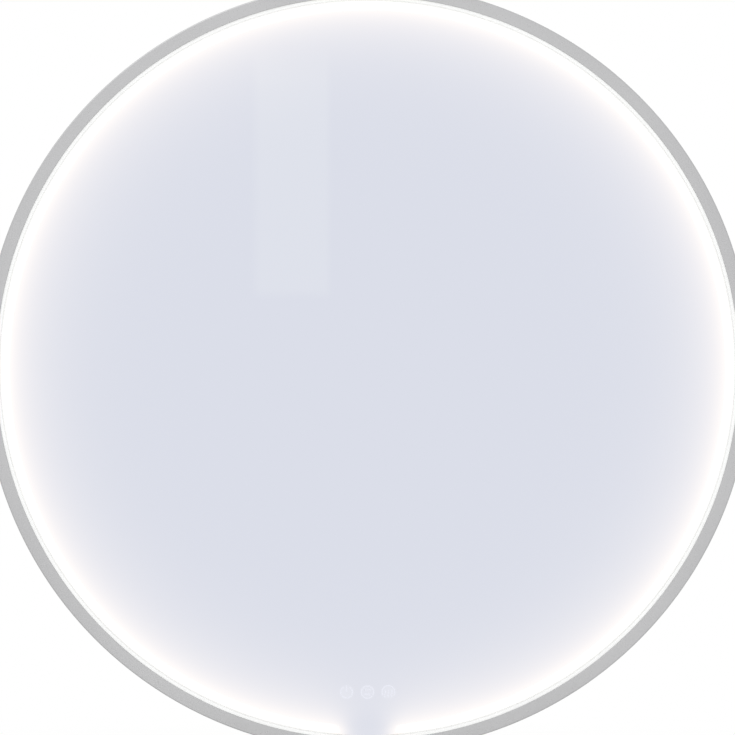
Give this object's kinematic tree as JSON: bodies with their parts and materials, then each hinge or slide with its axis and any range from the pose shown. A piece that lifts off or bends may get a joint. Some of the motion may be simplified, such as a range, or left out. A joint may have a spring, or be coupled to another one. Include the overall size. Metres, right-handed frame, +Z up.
{
  "type": "round lighted wall mirror",
  "caption": "Round bathroom wall mirror in a slim aluminium frame, with a ring of light at its edge, touch keys at the bottom and a lift-off wall rail.",
  "frame": {"origin": "midway between the wall rail's two screw holes, on the wall's surface", "axes": "+X to the right as one faces the mirror, +Y into the wall, +Z up; the glass faces -Y and its centre is 150 mm below the origin"},
  "size_m": [0.6, 0.04, 0.6],
  "materials": {
    "zinc_steel": "bright zinc plated sheet",
    "rivet_aluminium": "plain",
    "bumper_rubber": "matte",
    "frame_aluminium": "fine satin anodised",
    "key_aluminium": "mill finish",
    "steel_screw": "zinc plated",
    "panel_steel": "galvanised sheet, matt clear coat",
    "mirror_glass": "silvered, frosted and backlit at its edge",
    "opal_acrylic": "opal",
    "seal_rubber": "matte",
    "clear_tape": "clear acrylic foam",
    "hoop_aluminium": "mill finish",
    "black_tape": "foam",
    "white_foil": "matte",
    "strip_board": "white solder mask",
    "lamp_chip": "phosphor",
    "white_nylon": "satin",
    "black_plastic": "fine spark texture",
    "driver_plastic": "satin",
    "green_board": "solder mask",
    "ferrite": "fired",
    "winding_tape": "yellow film tape",
    "capacitor_sleeve": "shrink sleeve",
    "black_foam": "closed cell foam",
    "heater_film": "polyester film over etched foil",
    "tinned_copper": "tinned",
    "lead_sheath": "white sheath",
    "white_sheath": "white sheath",
    "earth_sheath": "green and yellow"
  },
  "bodies": {
    "wall_rail": {"wall_rail": "zinc_steel"},
    "mirror": {"hanger_rail": "zinc_steel", "hanger_rivets": "rivet_aluminium", "wall_bumpers": "bumper_rubber", "frame_ring": "frame_aluminium", "frame_joint_key": "key_aluminium", "frame_joint_screws": "steel_screw", "back_panel": "panel_steel", "panel_screws": "steel_screw", "hoop_screws": "steel_screw", "mirror_glass": "mirror_glass", "diffuser_ring": "opal_acrylic", "diffuser_seal": "seal_rubber", "glass_tape": "clear_tape", "light_hoop": "hoop_aluminium", "hoop_tape": "black_tape", "reflector_foil": "white_foil", "led_strip": "strip_board", "led_chips": "lamp_chip", "strip_plug": "white_nylon", "junction_box": "black_plastic", "junction_cover": "panel_steel", "cover_screws": "steel_screw", "cable_grommet": "seal_rubber", "terminal_block": "white_nylon", "terminal_screws": "steel_screw", "driver_case": "driver_plastic", "driver_lid": "driver_plastic", "driver_board": "green_board", "transformer_core": "ferrite", "transformer_coil": "winding_tape", "driver_capacitors": "capacitor_sleeve", "driver_terminals": "white_nylon", "driver_screws": "steel_screw", "touch_gasket": "black_foam", "touch_cover": "black_plastic", "touch_board": "green_board", "key_lamps": "lamp_chip", "touch_parts": "white_nylon", "heater_film": "heater_film", "heater_tab": "black_plastic", "earth_stud": "zinc_steel", "earth_lug": "tinned_copper", "earth_nut": "steel_screw", "supply_lead": "lead_sheath", "output_lead": "lead_sheath", "heater_lead": "lead_sheath", "strip_lead": "white_sheath", "earth_lead": "earth_sheath", "lead_clips": "white_nylon"}
  },
  "joints": [
    {"name": "lift_off", "type": "slide", "parent": "wall_rail", "child": "mirror", "axis": [0, 0, 1], "range_m": [0, 0.0125]}
  ]
}
